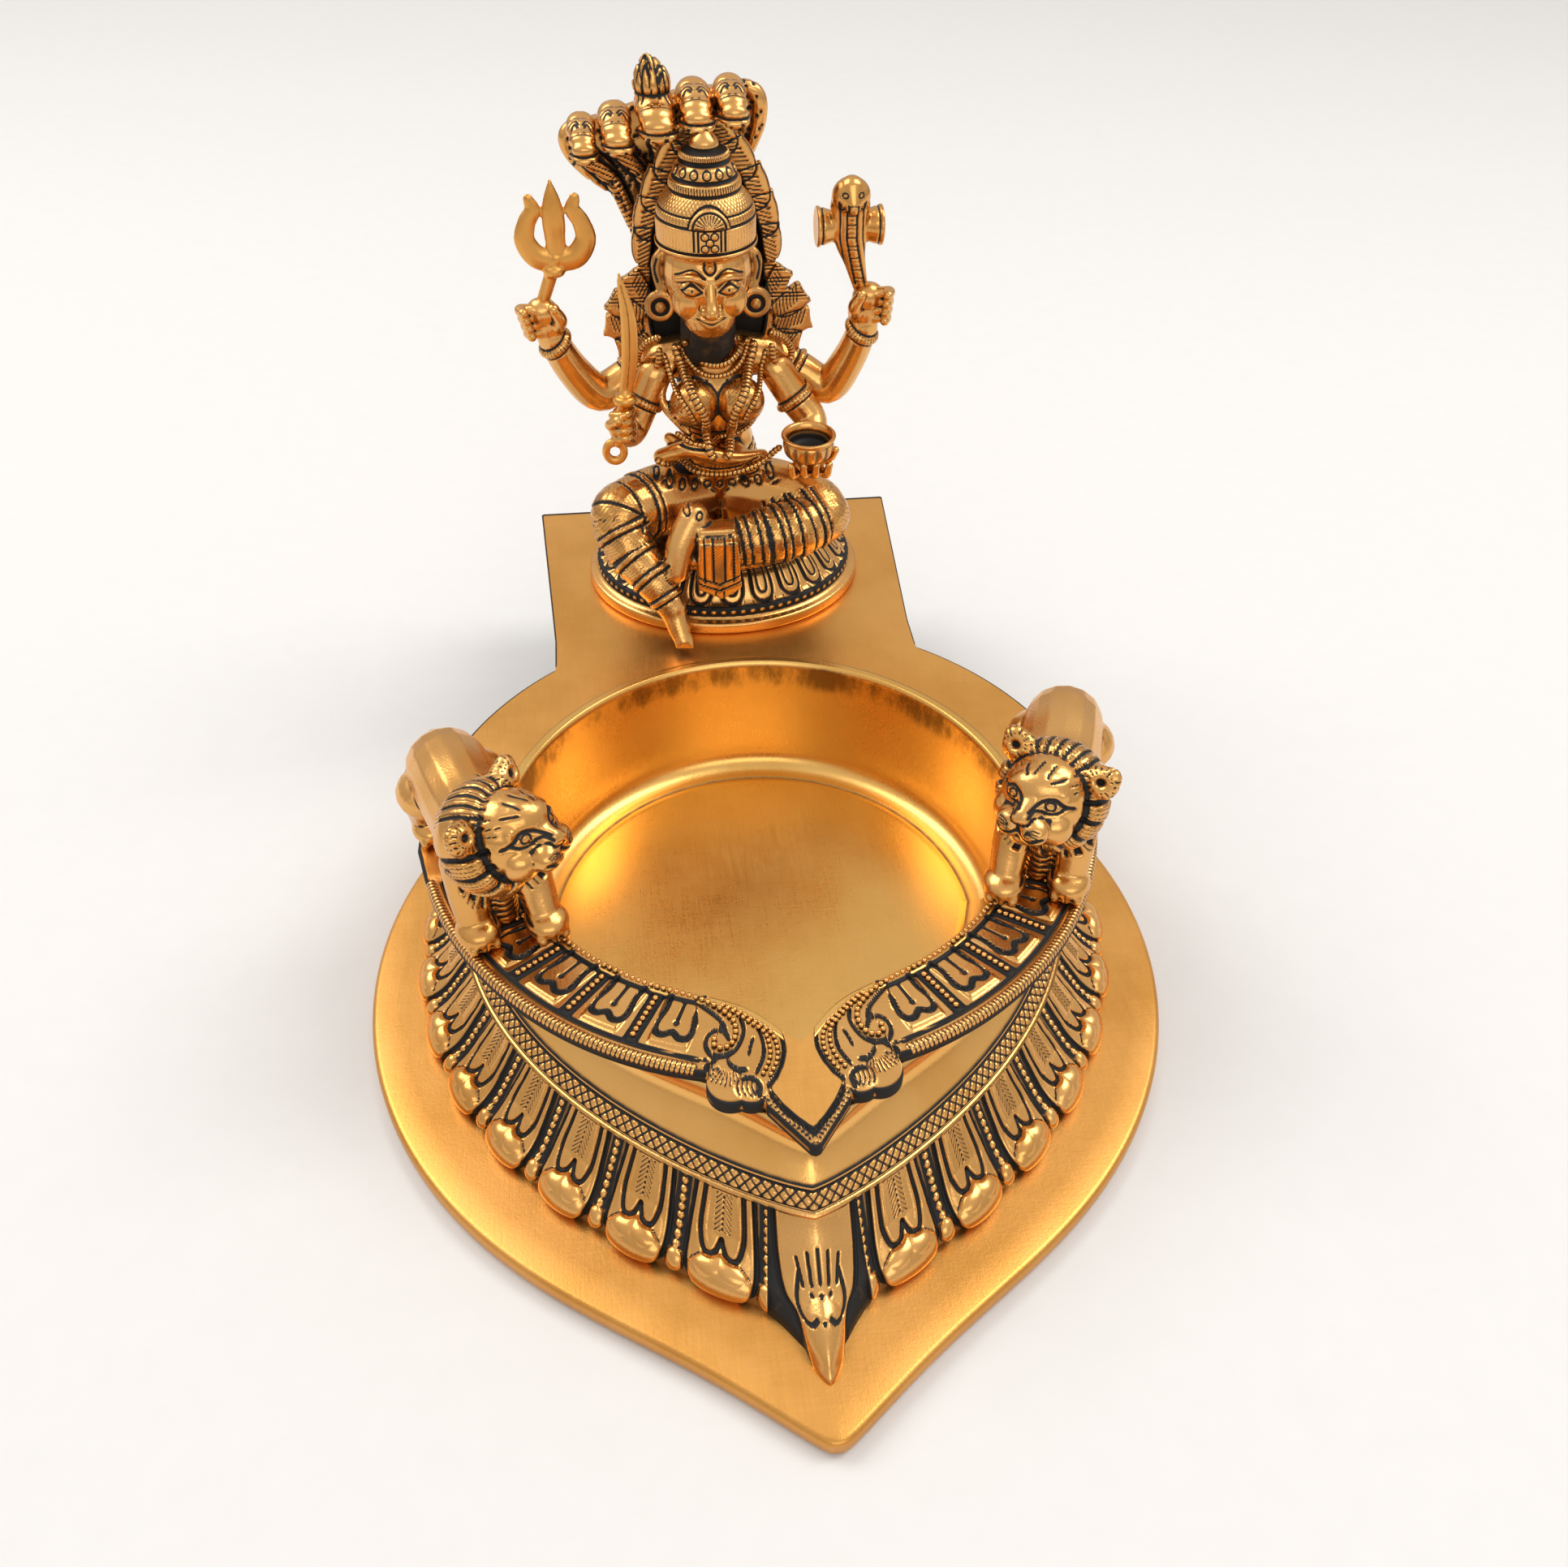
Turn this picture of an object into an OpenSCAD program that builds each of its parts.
// Brass oil lamp: a leaf-shaped oil bowl in a flat carved rim, on a lotus skirt and a leaf
// base plate, with two lions on the rim and a four-armed goddess seated behind the bowl.
// The origin is on the underside of the base plate, below the centre of the bowl's rear arc.
// The spout points to -Y, the goddess faces -Y, and Z is up.

/* [Oil bowl] */
// Inside radius of the bowl's round rear part at the rim
bowl_r = 62; // [52:0.5:72]
// Depth of the bowl from its rim to its floor
bowl_depth = 34.5; // [28:0.5:40]
// Wall thickness of the bowl
bowl_wall = 2.2; // [1.8:0.1:3]
// Thickness of the bowl's floor
bowl_floor = 2.5; // [2:0.1:4]
// How far the bowl's wall leans in between the rim and the floor
bowl_lean = 2.7; // [1:0.1:5]
// How much nearer the bowl's front wall is than its rear wall
bowl_flat = 9.5; // [4:0.5:12]
// Length of the pointed front of the bowl's mouth
bowl_beak = 11.5; // [6:0.5:16]

/* [Rim deck] */
// Thickness of the rim deck
deck_t = 4; // [3:0.25:6]
// Width of the carved band between the bowl and the deck's edge
band_w = 19.5; // [16:0.5:24]
// Reach of the pointed spout past the band's outer edge
spout_reach = 17; // [10:0.5:22]
// Width of the spout where it leaves the volutes
spout_w = 17; // [12:0.5:22]
// Width of the goddess's platform at its back edge
platform_w = 107; // [96:1:120]
// Width of the platform at its waist
waist_w = 99; // [90:1:106]
// Distance from the bowl's rear arc centre to the platform's back edge
platform_back = 143; // [136:1:155]

/* [Base plate] */
// Thickness of the base plate
plate_t = 5; // [3.5:0.25:8]
// How far the base plate stands out past the lotus skirt
plate_out = 12; // [8:0.5:20]
// How far the base plate is set forward of the bowl
plate_shift = 8; // [4:0.5:12]
// Length of the base plate's pointed front
plate_tip = 24; // [16:0.5:30]

/* [Lotus skirt and neck] */
// How far the lotus skirt's foot stands out past the neck's foot
skirt_out = 12.5; // [9:0.5:15]
// Height of the lotus skirt
skirt_h = 18.5; // [14:0.5:22]
// Number of petals around the lotus skirt
petals = 30; // [24:1:36]
// Depth of the hollows between the petals
petal_dip = 2.6; // [1.5:0.1:3.5]
// Height of the swelling at each petal's tip
petal_swell = 2.1; // [1:0.1:2.4]
// How far the neck's foot stands out past the bowl's inside radius
neck_out = 11.5; // [10:0.5:14]
// Height of the criss-cross band at the foot of the neck
zigzag_h = 4; // [3:0.25:6]
// How far the criss-cross band slopes in over its height
zigzag_slope = 3.8; // [3:0.1:5]
// Depth of the neck's hollow curve
cove_depth = 5.5; // [3:0.25:6.5]
// Wall thickness of the neck
neck_wall = 3; // [2.5:0.1:3.5]

/* [Lions] */
// Distance between a lion's front and hind paws
lion_stride = 36; // [30:0.5:42]
// How far each lion's middle stands out past the bowl's inside radius
lion_out = 4.2; // [3:0.1:7]
// Distance of each lion's middle in front of the bowl's rear arc centre
lion_front = 8.8; // [4:0.1:14]
// Angle that each lion turns in from the lamp's axis
lion_yaw = 21; // [10:1:30]

/* [Goddess and seat] */
// Height of the goddess from the deck to the tip of the crown
figure_h = 125; // [110:1:140]
// Half width of the lotus seat
seat_a = 39; // [36:0.5:44]
// Half depth of the lotus seat
seat_b = 33; // [30:0.5:34.5]
// Height of the lotus seat
seat_h = 18; // [14:0.5:22]
// Distance of the seat's middle behind the bowl's rear arc centre
seat_y = 108; // [105:0.5:108.5]
// Number of petals around the lotus seat
seat_petals = 24; // [18:1:30]

/* [Fasteners] */
// Thread diameter of the bowl's countersunk screws
bowl_screw_d = 4; // [3:0.5:5]
// Diameter of the bowl's screw pads
pad_d = 14; // [11:0.5:18]
// Thread diameter of the seat's screws
seat_screw_d = 5; // [4:0.5:6]
// Thread diameter of the lions' screws
lion_screw_d = 3; // [2.5:0.25:3.5]
// Radial clearance around a screw in a plain hole
hole_gap = 0.25; // [0.15:0.05:0.5]
// Clearance between the bowl's rim and the hole in the deck around it
bowl_gap = 0.05; // [0.02:0.01:0.1]
// Depth that a screw enters the piece it holds
screw_bite = 6; // [5:0.25:7]

/* [Hidden] */
$fn = 48;

// Clearance in the sockets that hold the head, the arms and what the hands hold
braze_gap = 0.1;

// A screw's end stays this far short of the end of its hole
screw_short = 0.3;

// Radii of the stack, from the bowl outwards, and the lions' distance from the centre line
neck_r = bowl_r + neck_out;
skirt_r = neck_r + skirt_out;
plate_r = skirt_r + plate_out;
lion_x = bowl_r + lion_out;

// Heights of the stack, from the table up
pad_h = 3.5;
bowl_under = plate_t + pad_h;
bowl_in = bowl_under + bowl_floor;
deck_top = bowl_in + bowl_depth;
deck_under = deck_top - deck_t;
neck_foot = plate_t + skirt_h;
cove_foot = neck_foot + zigzag_h;

// Outlines: each is a radius at an angle from the front point
function point_bump(a, len, w, p) = len * exp(-pow(abs(a) / w, p));
function flat_front(a) = bowl_r - bowl_flat * pow(max(cos(a), 0), 0.8);
function mouth(a) = flat_front(a) + point_bump(a, bowl_beak, 7.5, 1.3);
function band_edge(a) = flat_front(a) + band_w;
function plate_edge(a) = plate_r + plate_shift * cos(a) + point_bump(a, plate_tip, 12, 1.15);
function neck_edge(a) = neck_r - 3 * cos(a) + point_bump(a, 20.5, 28, 1.15);
function neck_top(a) = band_edge(a) - 2 + point_bump(a, spout_reach, 10, 1.2);
function skirt_edge(a) = skirt_r + point_bump(a, 20, 26, 1.1);
function front_boss(a) = point_bump(a, 11, 4, 1.5);

// 0 on a petal's middle line and 1 between two petals, and the petal's round outline over that
function petal_turn(a, n) = 2 * abs(a * n / 360 - round(a * n / 360));
function lobe(a, n) = sqrt(max(0, 1 - pow(petal_turn(a, n), 2.4)));

function at(a, rho, z) = [rho * sin(a), -rho * cos(a), z];
function turns(n) = [for (i = [0:n - 1]) (i <= n / 2) ? 360 * i / n : 360 * i / n - 360];

// Solid between rings of points, closed on itself or capped at its first and last ring
module skin(rings, closed = false) {
    n = len(rings[0]);
    m = len(rings);
    last = closed ? m - 1 : m - 2;
    sides = [for (k = [0:last], i = [0:n - 1])
        let (j = (i + 1) % n, a = k * n, b = ((k + 1) % m) * n)
        each [[a + i, b + j, a + j], [a + i, b + i, b + j]]];
    caps = closed ? [] : [[for (i = [0:n - 1]) i], [for (i = [n - 1:-1:0]) (m - 1) * n + i]];
    polyhedron(points = [for (r = rings) each r], faces = concat(sides, caps));
}

// Round bar with rounded ends through a list of [x, y, z, radius]
module limb(joints) {
    for (j = joints) translate([j[0], j[1], j[2]]) sphere(r = j[3]);
    for (i = [0:len(joints) - 2]) {
        p = joints[i];
        q = joints[i + 1];
        d = [q[0] - p[0], q[1] - p[1], q[2] - p[2]];
        translate([p[0], p[1], p[2]])
            rotate([0, acos(d[2] / norm(d)), atan2(d[1], d[0])])
                cylinder(h = norm(d), r1 = 0.97 * p[3], r2 = 0.97 * q[3]);
    }
}

// Joined solid around neighbouring balls, for cast bodies
module cast_limb(joints, facets = 16, grow = 0) {
    for (i = [0:len(joints) - 2])
        hull() {
            for (k = [i, i + 1])
                translate([joints[k][0], joints[k][1], joints[k][2]])
                    sphere(r = joints[k][3] + grow, $fn = facets);
        }
}

// ---- base plate, skirt and neck ----

bowl_screw_at = [for (a = [0, 120, 240]) at(a, 38, 0)];
head_d = 2 * bowl_screw_d;
head_h = bowl_screw_d / 2;

module screw_hole(d, head, deep) {
    translate([0, 0, -1]) cylinder(h = plate_t + 2, d = d + 2 * hole_gap);
    translate([0, 0, -0.01]) cylinder(h = deep, d1 = head + 2 * hole_gap, d2 = d + 2 * hole_gap);
}

module base_plate() {
    color("goldenrod")
        difference() {
            linear_extrude(plate_t)
                offset(r = 6) offset(delta = -6)
                    polygon([for (a = turns(180)) [for (k = [0, 1]) at(a, plate_edge(a), 0)[k]]]);
            for (p = bowl_screw_at)
                translate(p) screw_hole(bowl_screw_d, head_d, head_h);
        }
}

// Each row: height share, share of the way in to the neck, and the shares of the tip's swelling
// and of the leaf between two petals that stand out there
skirt_rows = [[0, 0.03, 0.25, 0], [0.1, 0, 0.75, 0.7], [0.26, 0.06, 1, 1], [0.4, 0.26, 0.8, 0.5],
              [0.5, 0.43, 0.3, 0], [0.6, 0.54, 0, 0], [1, 0.97, 0, 0]];
// Turns across half a petal at which its cross-section has a corner
petal_corners = [0, 0.34, 0.66, 0.82, 1];
skirt_wall = 4;
// The petals' fields lie this far inside the skirt's mean slope
field_sink = 1.1;
leaf_rise = 1.5;

// Angles of the corners of all petals, from the front point round to the right
function petal_angles(n) = [for (i = [0:n - 1], c = [0:7])
    let (turn = (c < 5) ? petal_corners[c] : 2 - petal_corners[8 - c],
         a = (i + turn / 2) * 360 / n)
    (a > 180) ? a - 360 : a];

// How far a petal stands out of the slope at a corner of its cross-section
function petal_rise(turn, swell, leaf) =
    (turn < 0.7) ? petal_swell * swell * sqrt(1 - 2 * turn * turn) - field_sink
    : (turn < 0.9) ? -petal_dip * 0.85
    : leaf_rise * leaf - petal_dip * 0.75;

module lotus_skirt() {
    edge = petal_angles(petals);
    inset = 6;
    outer = [for (row = skirt_rows) [for (a = edge)
        let (rest = 1 - row[0],
             rho = skirt_edge(a) + (neck_edge(a) - skirt_edge(a)) * row[1]
                   + front_boss(a) * rest * rest
                   + petal_rise(petal_turn(a, petals), row[2], row[3]) * min(1, 4 * rest))
        at(a, rho, plate_t + skirt_h * row[0])]];
    rim = [for (a = edge) at(a, neck_edge(a) - inset, plate_t + skirt_h)];
    crook = [for (a = edge) at(a, neck_edge(a) - inset, plate_t + skirt_h - skirt_wall)];
    foot = [for (a = edge) at(a, skirt_edge(a) - petal_dip - skirt_wall, plate_t)];
    color("darkgoldenrod") skin(concat([for (i = [6:-1:0]) outer[i]], [foot, crook, rim]), true);
}

module neck_collar() {
    n = 96;
    steps = 6;
    foot = [for (a = turns(n)) at(a, neck_edge(a), neck_foot)];
    cove = [for (k = [0:steps]) [for (a = turns(n))
        let (t = k / steps, low = neck_edge(a) - zigzag_slope,
             rho = low + (neck_top(a) - low) * t * t - cove_depth * sin(180 * t))
        at(a, rho, cove_foot + (deck_under - cove_foot) * t)]];
    inner = [for (k = [steps:-1:0]) [for (p = cove[k]) let (s = 1 - neck_wall / norm([p[0], p[1]]))
        [p[0] * s, p[1] * s, p[2]]]];
    inner_foot = [for (a = turns(n)) at(a, neck_edge(a) - zigzag_slope - neck_wall, neck_foot)];
    color("goldenrod") skin(concat([inner_foot], [for (k = [steps:-1:0]) inner[k]],
                                   [for (k = [steps:-1:0]) cove[k]], [foot]), true);
}

// ---- oil bowl, its pads and its screws ----

rim_proud = 0.5;
floor_curve = 5;

module oil_bowl() {
    n = 120;
    // Radius of the inside at a height above the floor, rounded into the floor
    function inside(a, h) = mouth(a) - bowl_lean * (1 - h / bowl_depth)
        - ((h < floor_curve) ? floor_curve - sqrt(h * (2 * floor_curve - h)) : 0);
    heights = [0, 0.4, 1.6, 5, bowl_depth * 0.5, bowl_depth + rim_proud];
    inner = [for (h = heights) [for (a = turns(n)) at(a, inside(a, h), bowl_in + h)]];
    top = deck_top + rim_proud;
    outer = [for (h = [0, bowl_depth + rim_proud]) [for (a = turns(n))
        at(a, mouth(a) - bowl_lean * (1 - h / bowl_depth) + bowl_wall,
           (h == 0) ? bowl_in : top)]];
    under = [for (a = turns(n)) at(a, mouth(a) - bowl_lean - floor_curve, bowl_under)];
    color("gold") skin(concat([for (k = [0:5]) inner[k]], [outer[1], outer[0], under]));
}

module bowl_pads() {
    color("peru")
        for (p = bowl_screw_at)
            translate([p[0], p[1], plate_t]) difference() {
                cylinder(h = pad_h, d = pad_d);
                translate([0, 0, -1]) cylinder(h = pad_h + 2, d = bowl_screw_d);
            }
}

module bowl_screws() {
    color("silver")
        for (p = bowl_screw_at)
            translate(p) difference() {
                union() {
                    cylinder(h = bowl_under - screw_short, d = bowl_screw_d);
                    cylinder(h = head_h, d1 = head_d, d2 = bowl_screw_d);
                }
                translate([-0.5, -head_d / 2, -0.01]) cube([1, head_d, 0.9]);
            }
}

// ---- rim deck ----

seat_screw_at = [for (s = [-1, 1]) [s * 20, seat_y, 0]];

module lion_place(side) {
    translate([side * lion_x, -lion_front, deck_top])
        rotate([0, 0, -90 - side * lion_yaw]) children();
}

// Screws into the lug between the front paws and into the inner hind paw of the lion on a side
function lion_screw_at(side) = [[0.4 * lion_stride, 0], [-lion_stride / 2, -side * 6.5]];

module deck_outline() {
    offset(r = -4) offset(delta = 4) {
        polygon([for (a = turns(180)) [for (k = [0, 1]) at(a, band_edge(a), 0)[k]]]);
        polygon([[-waist_w / 2, bowl_r], [waist_w / 2, bowl_r], [waist_w / 2, 0.72 * seat_y],
                 [platform_w / 2, platform_back], [-platform_w / 2, platform_back],
                 [-waist_w / 2, 0.72 * seat_y]]);
    }
    front = band_edge(0);
    for (s = [-1, 1]) {
        translate([s * (spout_w / 2 + 6.5), -front - 0.5]) circle(r = 5);
        translate([s * (spout_w / 2 + 2.5), -front - 2]) circle(r = 4);
    }
    polygon([[-spout_w / 2, -front + 6], [-spout_w / 2, -front - 7],
             [-1, -front - spout_reach + 0.6], [0, -front - spout_reach],
             [1, -front - spout_reach + 0.6],
             [spout_w / 2, -front - 7], [spout_w / 2, -front + 6]]);
}

module rim_deck() {
    color("goldenrod")
        difference() {
            translate([0, 0, deck_under]) linear_extrude(deck_t) difference() {
                deck_outline();
                polygon([for (a = turns(120))
                        [for (k = [0, 1]) at(a, mouth(a) + bowl_wall + bowl_gap, 0)[k]]]);
            }
            for (p = seat_screw_at)
                translate([p[0], p[1], deck_under - 1])
                    cylinder(h = deck_t + 2, d = seat_screw_d + 2 * hole_gap);
            for (s = [-1, 1]) lion_place(s)
                for (q = lion_screw_at(s))
                    translate([q[0], q[1], -deck_t - 1])
                        cylinder(h = deck_t + 2, d = lion_screw_d + 2 * hole_gap);
        }
}

// ---- lions ----

lion_u = lion_stride / 36;

// Ring of the mane: place along the head's axis and radius on a lock and between two locks
mane_rows = [[8, 8.6, 8.6], [6.6, 11, 9.4], [3, 13.4, 11.2], [0, 14, 12.2], [-3.4, 13.2, 12.4],
             [-7, 13, 10.8], [-9.5, 9.5, 9.2], [-11.5, 6, 6]];
mane_locks = 17;

module mane() {
    n = 2 * mane_locks;
    skin([for (i = [0:len(mane_rows) - 1]) [for (k = [0:n - 1])
        let (row = mane_rows[i], a = 360 * k / n,
             twist = (i < 4) ? 0 : 180 / mane_locks,
             swell = 0.5 + 0.5 * cos(mane_locks * (a + twist)),
             rho = row[2] + (row[1] - row[2]) * swell)
        [row[0], rho * sin(a), 1 - 0.3 * i + rho * cos(a)]]]);
}

// A lion that faces +X on the deck, with its head turned by an angle
module lion(side, turn) {
    difference() {
        scale(lion_u) {
            cast_limb([[-16, 0, 19, 10.3], [-2, 0, 18.5, 9.8], [12, 0, 21, 11]]);
            for (s = [-1, 1]) {
                cast_limb([[14, s * 6, 17, 5.5], [17, s * 7, 6, 3.6], [18.5, s * 7, 2.4, 3.8]], 12);
                cast_limb([[-15, s * 6, 15, 6.5], [-19, s * 6.6, 6, 3.4],
                           [-17.5, s * 6.6, 2.2, 3.6]], 12);
            }
            translate([14.4, 0, -1]) cylinder(h = 14, r = 3.6, $fn = 24);
            cast_limb([[-25, 0, 21, 2], [-28, 0, 12, 1.8], [-27, 0, 6, 2.8]], 8);
            for (s = [-1, 0, 1])
                cast_limb([[17, s * 5, 18, 2.4], [19.4, s * 5.4, 13.5, 2], [18.4, s * 4.6, 10.4, 1]], 6);
            translate([15, 0, 27]) rotate([0, 0, turn]) {
                mane();
                translate([-1, 0, -6]) sphere(r = 9.6, $fn = 14);
                cast_limb([[8, 0, 2.4, 8.4], [15, 0, -1.4, 3.6]]);
                for (s = [-1, 1]) {
                    cast_limb([[8.8, s * 6, -1.6, 4], [14.4, s * 2.4, -2.6, 3]], 10);
                    cast_limb([[3.2, s * 8.6, 9.2, 3], [4, s * 10.2, 13.4, 1.8]], 8);
                }
            }
        }
        for (q = lion_screw_at(side))
            translate([q[0], q[1], -1]) cylinder(h = screw_bite + 1, d = lion_screw_d);
        translate([0, 0, -10]) cube([90, 60, 20], center = true);
    }
}

module lion_left() {
    color("darkgoldenrod") lion_place(-1) lion(-1, 28);
}

module lion_right() {
    color("darkgoldenrod") lion_place(1) lion(1, -6);
}

module pan_screw(d, grip) {
    translate([0, 0, -0.6 * d]) difference() {
        cylinder(h = 0.6 * d, d = 1.9 * d);
        translate([-0.5, -d, -0.01]) cube([1, 2 * d, 0.25 * d]);
    }
    cylinder(h = grip, d = d);
}

module lion_screws() {
    color("silver")
        for (s = [-1, 1]) lion_place(s)
            for (q = lion_screw_at(s))
                translate([q[0], q[1], -deck_t]) pan_screw(lion_screw_d, deck_t + screw_bite - screw_short);
}

// ---- lotus seat ----

// Each row: height share, how far the row is set in from the foot, depth between petals
seat_rows = [[0, 0, 0], [0.16, 0, 0], [0.2, 1.6, 0], [0.26, 1.2, 0.9], [0.5, 3.6, 1.1],
             [0.7, 8, 0.3], [0.74, 9.4, 0], [0.8, 8.2, 0], [0.9, 8, 0], [1, 9.6, 0]];

module seat_solid() {
    n = 120;
    rows = [for (row = seat_rows) [for (a = turns(n))
        let (dip = row[1] + row[2] * (1 - lobe(a, seat_petals)))
        [(seat_a - dip) * sin(a), seat_y - (seat_b - dip) * cos(a), deck_top + seat_h * row[0]]]];
    skin([for (i = [len(rows) - 1:-1:0]) rows[i]]);
}

// Simple outer form of the seat, which the goddess's legs hang clear of
module seat_room() {
    translate([0, seat_y, deck_top - 1]) scale([1, seat_b / seat_a, 1]) {
        cylinder(h = 0.3 * seat_h + 1, r = seat_a);
        translate([0, 0, 0.3 * seat_h]) cylinder(h = 0.5 * seat_h, r1 = seat_a, r2 = seat_a - 7.8);
        cylinder(h = seat_h + 1, r = seat_a - 7.8);
    }
}

module lotus_seat() {
    color("darkgoldenrod")
        difference() {
            seat_solid();
            for (p = seat_screw_at)
                translate([p[0], p[1], deck_top - 1]) cylinder(h = screw_bite + 1, d = seat_screw_d);
        }
}

washer_t = 1;

module seat_screws() {
    color("silver")
        for (p = seat_screw_at)
            translate([p[0], p[1], deck_under - washer_t])
                pan_screw(seat_screw_d, washer_t + deck_t + screw_bite - screw_short);
}

module seat_washers() {
    color("gainsboro")
        for (p = seat_screw_at)
            translate([p[0], p[1], deck_under - washer_t]) difference() {
                cylinder(h = washer_t, d = 2.6 * seat_screw_d);
                translate([0, 0, -1]) cylinder(h = washer_t + 2, d = seat_screw_d + 2 * hole_gap);
            }
}

// ---- goddess: sizes are in units of a figure 125 high above the deck ----

fig_u = figure_h / 125;
figure_x = -1.5;

// Thickness of the flame arch, the place of its back face, and the thickness of the hood
arch_t = 4;
arch_back = 10;
hood_t = 5;

// Places the figure's pieces: x to the side, -y to the front, z up from the deck
module figure() {
    translate([figure_x, seat_y, deck_top]) scale(fig_u) children();
}

// Joints of the arms from shoulder to wrist, as x, y, z and radius, and the fists after them
arms = [[[-17, 5, 63.5, 3.6], [-30, 0, 57.5, 4.4], [-40.5, -5, 73.5, 3.4], [-42, -5, 80, 3]],
        [[17, 5, 63.5, 3.6], [30, 1, 56, 4.4], [38.3, -5, 74, 3.4], [38.5, -5, 80, 3]],
        [[-16, -3.5, 62, 3.6], [-23, -7, 49, 4.3], [-25, -17, 57, 3.2]],
        [[16, -3.5, 62, 3.6], [25.2, -7.2, 50.6, 4.25], [22.7, -17.6, 46.4, 3.35]]];
fists = [[-43, -5.5, 84, 4.8], [38.5, -5.5, 85, 4.8], [-25.5, -20, 59.5, 4.4], [22, -23, 45, 4]];

// Skull and chin, shared by the head and the hollow of the neck it sits in
module head_ball(facets, grow = 0) {
    translate([0, -6, 89]) sphere(r = 10.8 + grow, $fn = facets);
    translate([0, -10, 83.5]) sphere(r = 5.6 + grow, $fn = facets);
}

// Shanks of what the rear and front hands hold, which their fists are cut for
module trident_shank(grow = 0) {
    limb([[-43, -5.5, 84, 1.5 + grow], [-38, -6, 97, 1.6 + grow]]);
}

module sword_grip(grow = 0) {
    limb([[-26.5, -20.5, 54, 1.6 + grow], [-24, -20.5, 66, 1.5 + grow]]);
}

module cobra_tail(grow = 0) {
    limb([[36.9, -5.5, 86, 1.6 + grow], [35.1, -6, 94, 2.2 + grow]]);
}

module goddess_body() {
    color("darkgoldenrod")
        difference() {
            figure() {
                cast_limb([[0, 2, 26, 12], [0, 1, 41, 10.5], [0, 0, 55, 11.5], [0, 1, 63, 9]]);
                cast_limb([[-14, 1, 65, 6], [14, 1, 65, 6]]);
                cast_limb([[0, -2, 68, 6.2], [0, -4, 79, 5.8]]);
                for (s = [-1, 1]) translate([s * 6.3, -8, 58]) sphere(r = 6.3, $fn = 16);
                cast_limb([[8, -2, 27, 10], [24, -15, 26.5, 8.5], [4, -24, 24.5, 5.6]]);
                cast_limb([[-8, -2, 27, 10], [-26, -17, 28, 8.5], [-16, -27, 20.5, 5.2],
                           [-13, -33, 16, 3.6], [-14, -38, 4.5, 3.2]]);
                translate([-7, -33, 12]) cube([11, 8, 14]);
            }
            seat_room();
            figure() {
                head_ball(24, braze_gap);
                for (a = arms) cast_limb([a[0], a[1]], 16, braze_gap);
                translate([-20, arch_back - arch_t, 60]) cube([40, 20, 30]);
            }
        }
}

module crowned_head() {
    color("goldenrod")
        figure() {
            head_ball(48);
            translate([0, -9.4, 84]) cylinder(h = 6, r1 = 5.4, r2 = 9);
            translate([0, -15.6, 87.5]) rotate([20, 0, 0]) cylinder(h = 5, r1 = 2.2, r2 = 0.8);
            for (s = [-1, 1]) translate([s * 11.6, -5, 84]) rotate([90, 0, 0])
                rotate_extrude() translate([2.6, 0]) circle(r = 1.2);
            for (s = [-1, 1]) limb([[s * 10.4, -4, 92.5, 2.2], [s * 10.9, -4.5, 88.5, 1.6]]);
            translate([0, -4, 0]) rotate_extrude()
                polygon([[0, 93], [11.5, 94], [12.9, 96], [12.9, 99], [12.2, 99.6], [12.9, 100.4],
                         [12.9, 102.2], [12, 103], [12.2, 105], [10.8, 109.4], [9.2, 110.2],
                         [9.2, 112.2], [7.6, 113], [7.4, 115.4], [5.2, 116.4], [5, 118.4],
                         [3.2, 119.4], [3.4, 121], [1, 124.2], [0, 125]]);
        }
}

module flame_arch() {
    half_out = [[9, 62], [12.6, 63], [14, 67.6], [22, 68], [30, 70], [25, 73], [29, 78], [21, 79],
                [18.5, 86], [17.5, 96], [16, 104], [13.5, 111], [8, 120], [0, 128]];
    half_in = [[7, 62], [8, 76], [11, 84], [11, 98], [8, 108], [0, 118]];
    function mirrored(half) = concat(half, [for (i = [len(half) - 2:-1:0]) [-half[i][0], half[i][1]]]);
    function backwards(list) = [for (i = [len(list) - 1:-1:0]) list[i]];
    color("goldenrod")
        figure()
            translate([0, arch_back, 0]) rotate([90, 0, 0]) linear_extrude(arch_t)
                polygon(concat(mirrored(half_out), backwards(mirrored(half_in))));
}

// The serpent's five heads, as x, z and radius
hood_heads = [[-31, 124, 3], [-22.5, 127.5, 3.4], [-12.5, 130, 4.6], [-3, 132, 3.4], [5.5, 131, 3]];

module serpent_hood() {
    color("darkgoldenrod")
        figure() {
            translate([0, arch_back + hood_t, 0]) rotate([90, 0, 0]) linear_extrude(hood_t)
                polygon([[-13, 60], [5, 60], [4, 84], [2, 104], [9, 114], [13.5, 121], [14, 127],
                         [11, 132], [5, 134.5], [-5, 136], [-14, 136], [-24, 132.5], [-32, 128],
                         [-35, 122], [-30, 114], [-20, 104], [-14, 84]]);
            for (h = hood_heads)
                limb([[h[0], 13, h[1], h[2]], [h[0] + 0.2, 0, h[1] - 1.5, h[2]],
                      [h[0] + 0.4, -6, h[1] - 4, 0.7 * h[2]]]);
            translate([-14, -1, 131]) cylinder(h = 9.8, r1 = 3.4, r2 = 0.5);
        }
}

// ---- arms: a sleeve ring at the shoulder, the arm, a bracelet and a fist ----

module arm(joints, fist) {
    limb(joints);
    translate([fist[0], fist[1], fist[2]]) sphere(r = fist[3]);
}

module rear_arm_left() {
    color("goldenrod") figure() difference() {
        arm(arms[0], fists[0]);
        trident_shank(braze_gap);
    }
}

module rear_arm_right() {
    color("goldenrod") figure() difference() {
        arm(arms[1], fists[1]);
        cobra_tail(braze_gap);
    }
}

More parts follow.
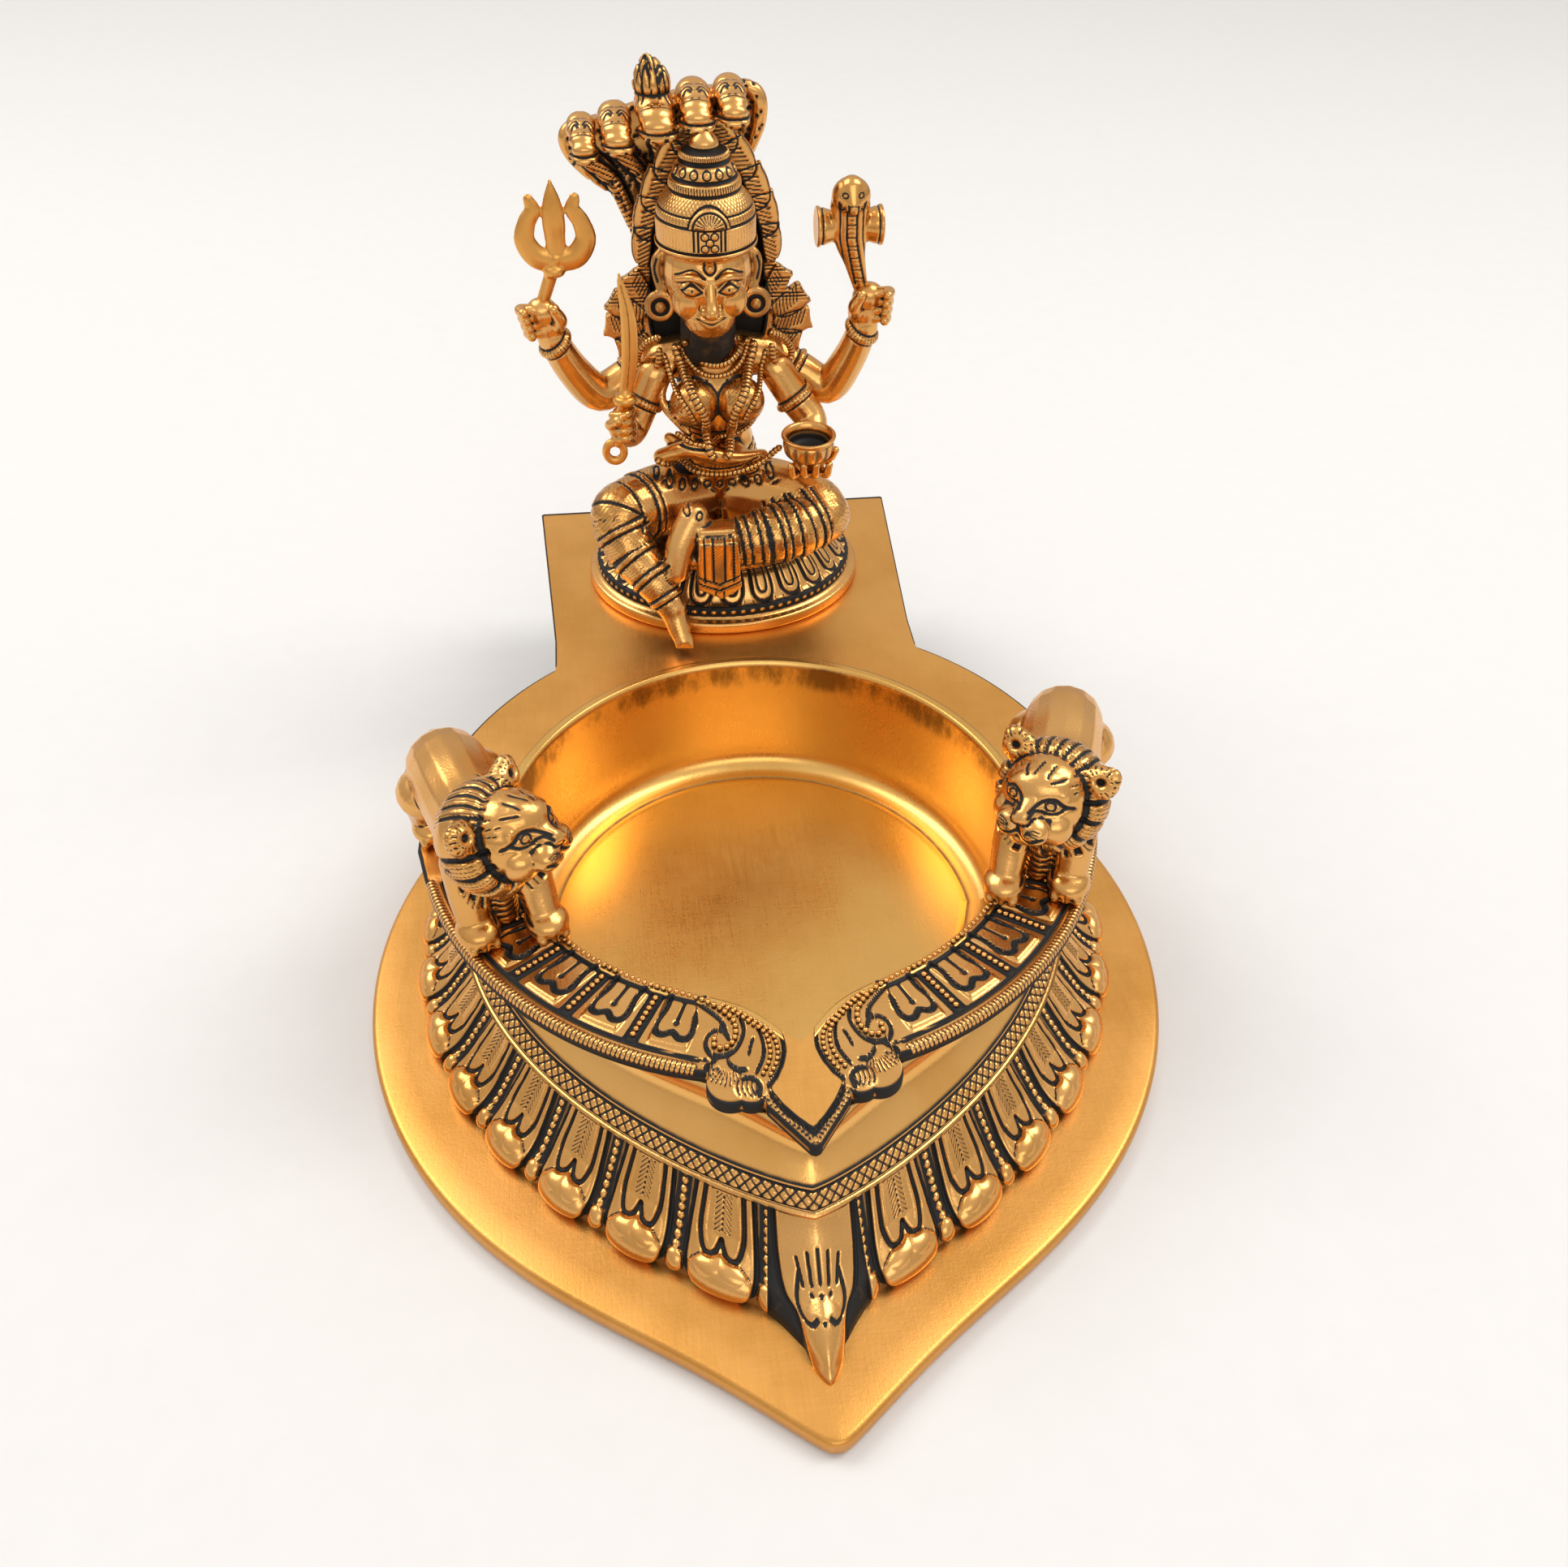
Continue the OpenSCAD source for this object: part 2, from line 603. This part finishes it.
module front_arm_left() {
    color("goldenrod") figure() difference() {
        arm(arms[2], fists[2]);
        sword_grip(braze_gap);
    }
}

module front_arm_right() {
    color("goldenrod") figure() arm(arms[3], fists[3]);
}

// ---- attributes in the hands ----

module trident() {
    color("gold") figure() {
        trident_shank();
        translate([-38, -4.6, 96]) rotate([90, 0, 0]) linear_extrude(2.8) {
            difference() {
                translate([0, 5]) circle(r = 8.6);
                translate([0, 11]) circle(r = 7.4);
                for (s = [-1, 1]) translate([s * 3.6, 3.2]) circle(r = 1.2, $fn = 24);
            }
            polygon([[-2.4, 0], [2.4, 0], [2, 9], [3, 12], [0, 18.5], [-3, 12], [-2, 9]]);
            for (s = [-1, 1]) polygon([[s * 8.3, 5], [s * 9, 8], [s * 7.4, 11.5], [s * 5.4, 6]]);
        }
    }
}

module curved_sword() {
    color("gold") figure() {
        sword_grip();
        translate([-24, -20.5, 66]) rotate([90, 0, 0]) cylinder(h = 2.6, r = 2.8, center = true);
        translate([-24, -19.7, 66]) rotate([90, 0, 0]) linear_extrude(1.6)
            polygon([[-1.4, 0], [1.4, 0], [2.6, 12], [2.4, 22], [1, 32], [0.4, 31], [-0.4, 18]]);
        translate([-27.6, -20.5, 51.5]) rotate([90, 0, 0])
            rotate_extrude() translate([2.2, 0]) circle(r = 1.2);
    }
}

module cobra_drum() {
    color("gold") figure() {
        cobra_tail();
        limb([[35.1, -6, 94, 2.2], [33.5, -6, 101, 3], [33.1, -7, 110.5, 4]]);
        for (s = [-1, 1]) translate([33.5 + s * 1.5, -5, 101]) rotate([0, s * 90, 0])
            cylinder(h = 6.8, r1 = 3.2, r2 = 5);
    }
}

cup_r = 7.1;
cup_wall = 1.2;

module offering_cup() {
    color("gold") figure() translate([22, -24.5, 46.5])
        rotate_extrude()
            polygon([[0, 2.6], [3.2, 2.6], [5.4, 3.6], [6.4, 6.4], [cup_r, 9.2], [cup_r - cup_wall, 9.2],
                     [5.2, 6.6], [4.4, 4.8], [0, 4.2]]);
}

base_plate();
lotus_skirt();
neck_collar();
oil_bowl();
rim_deck();
bowl_pads();
bowl_screws();
lion_left();
lion_right();
lion_screws();
lotus_seat();
seat_screws();
seat_washers();
goddess_body();
crowned_head();
flame_arch();
serpent_hood();
rear_arm_left();
rear_arm_right();
front_arm_left();
front_arm_right();
trident();
curved_sword();
cobra_drum();
offering_cup();
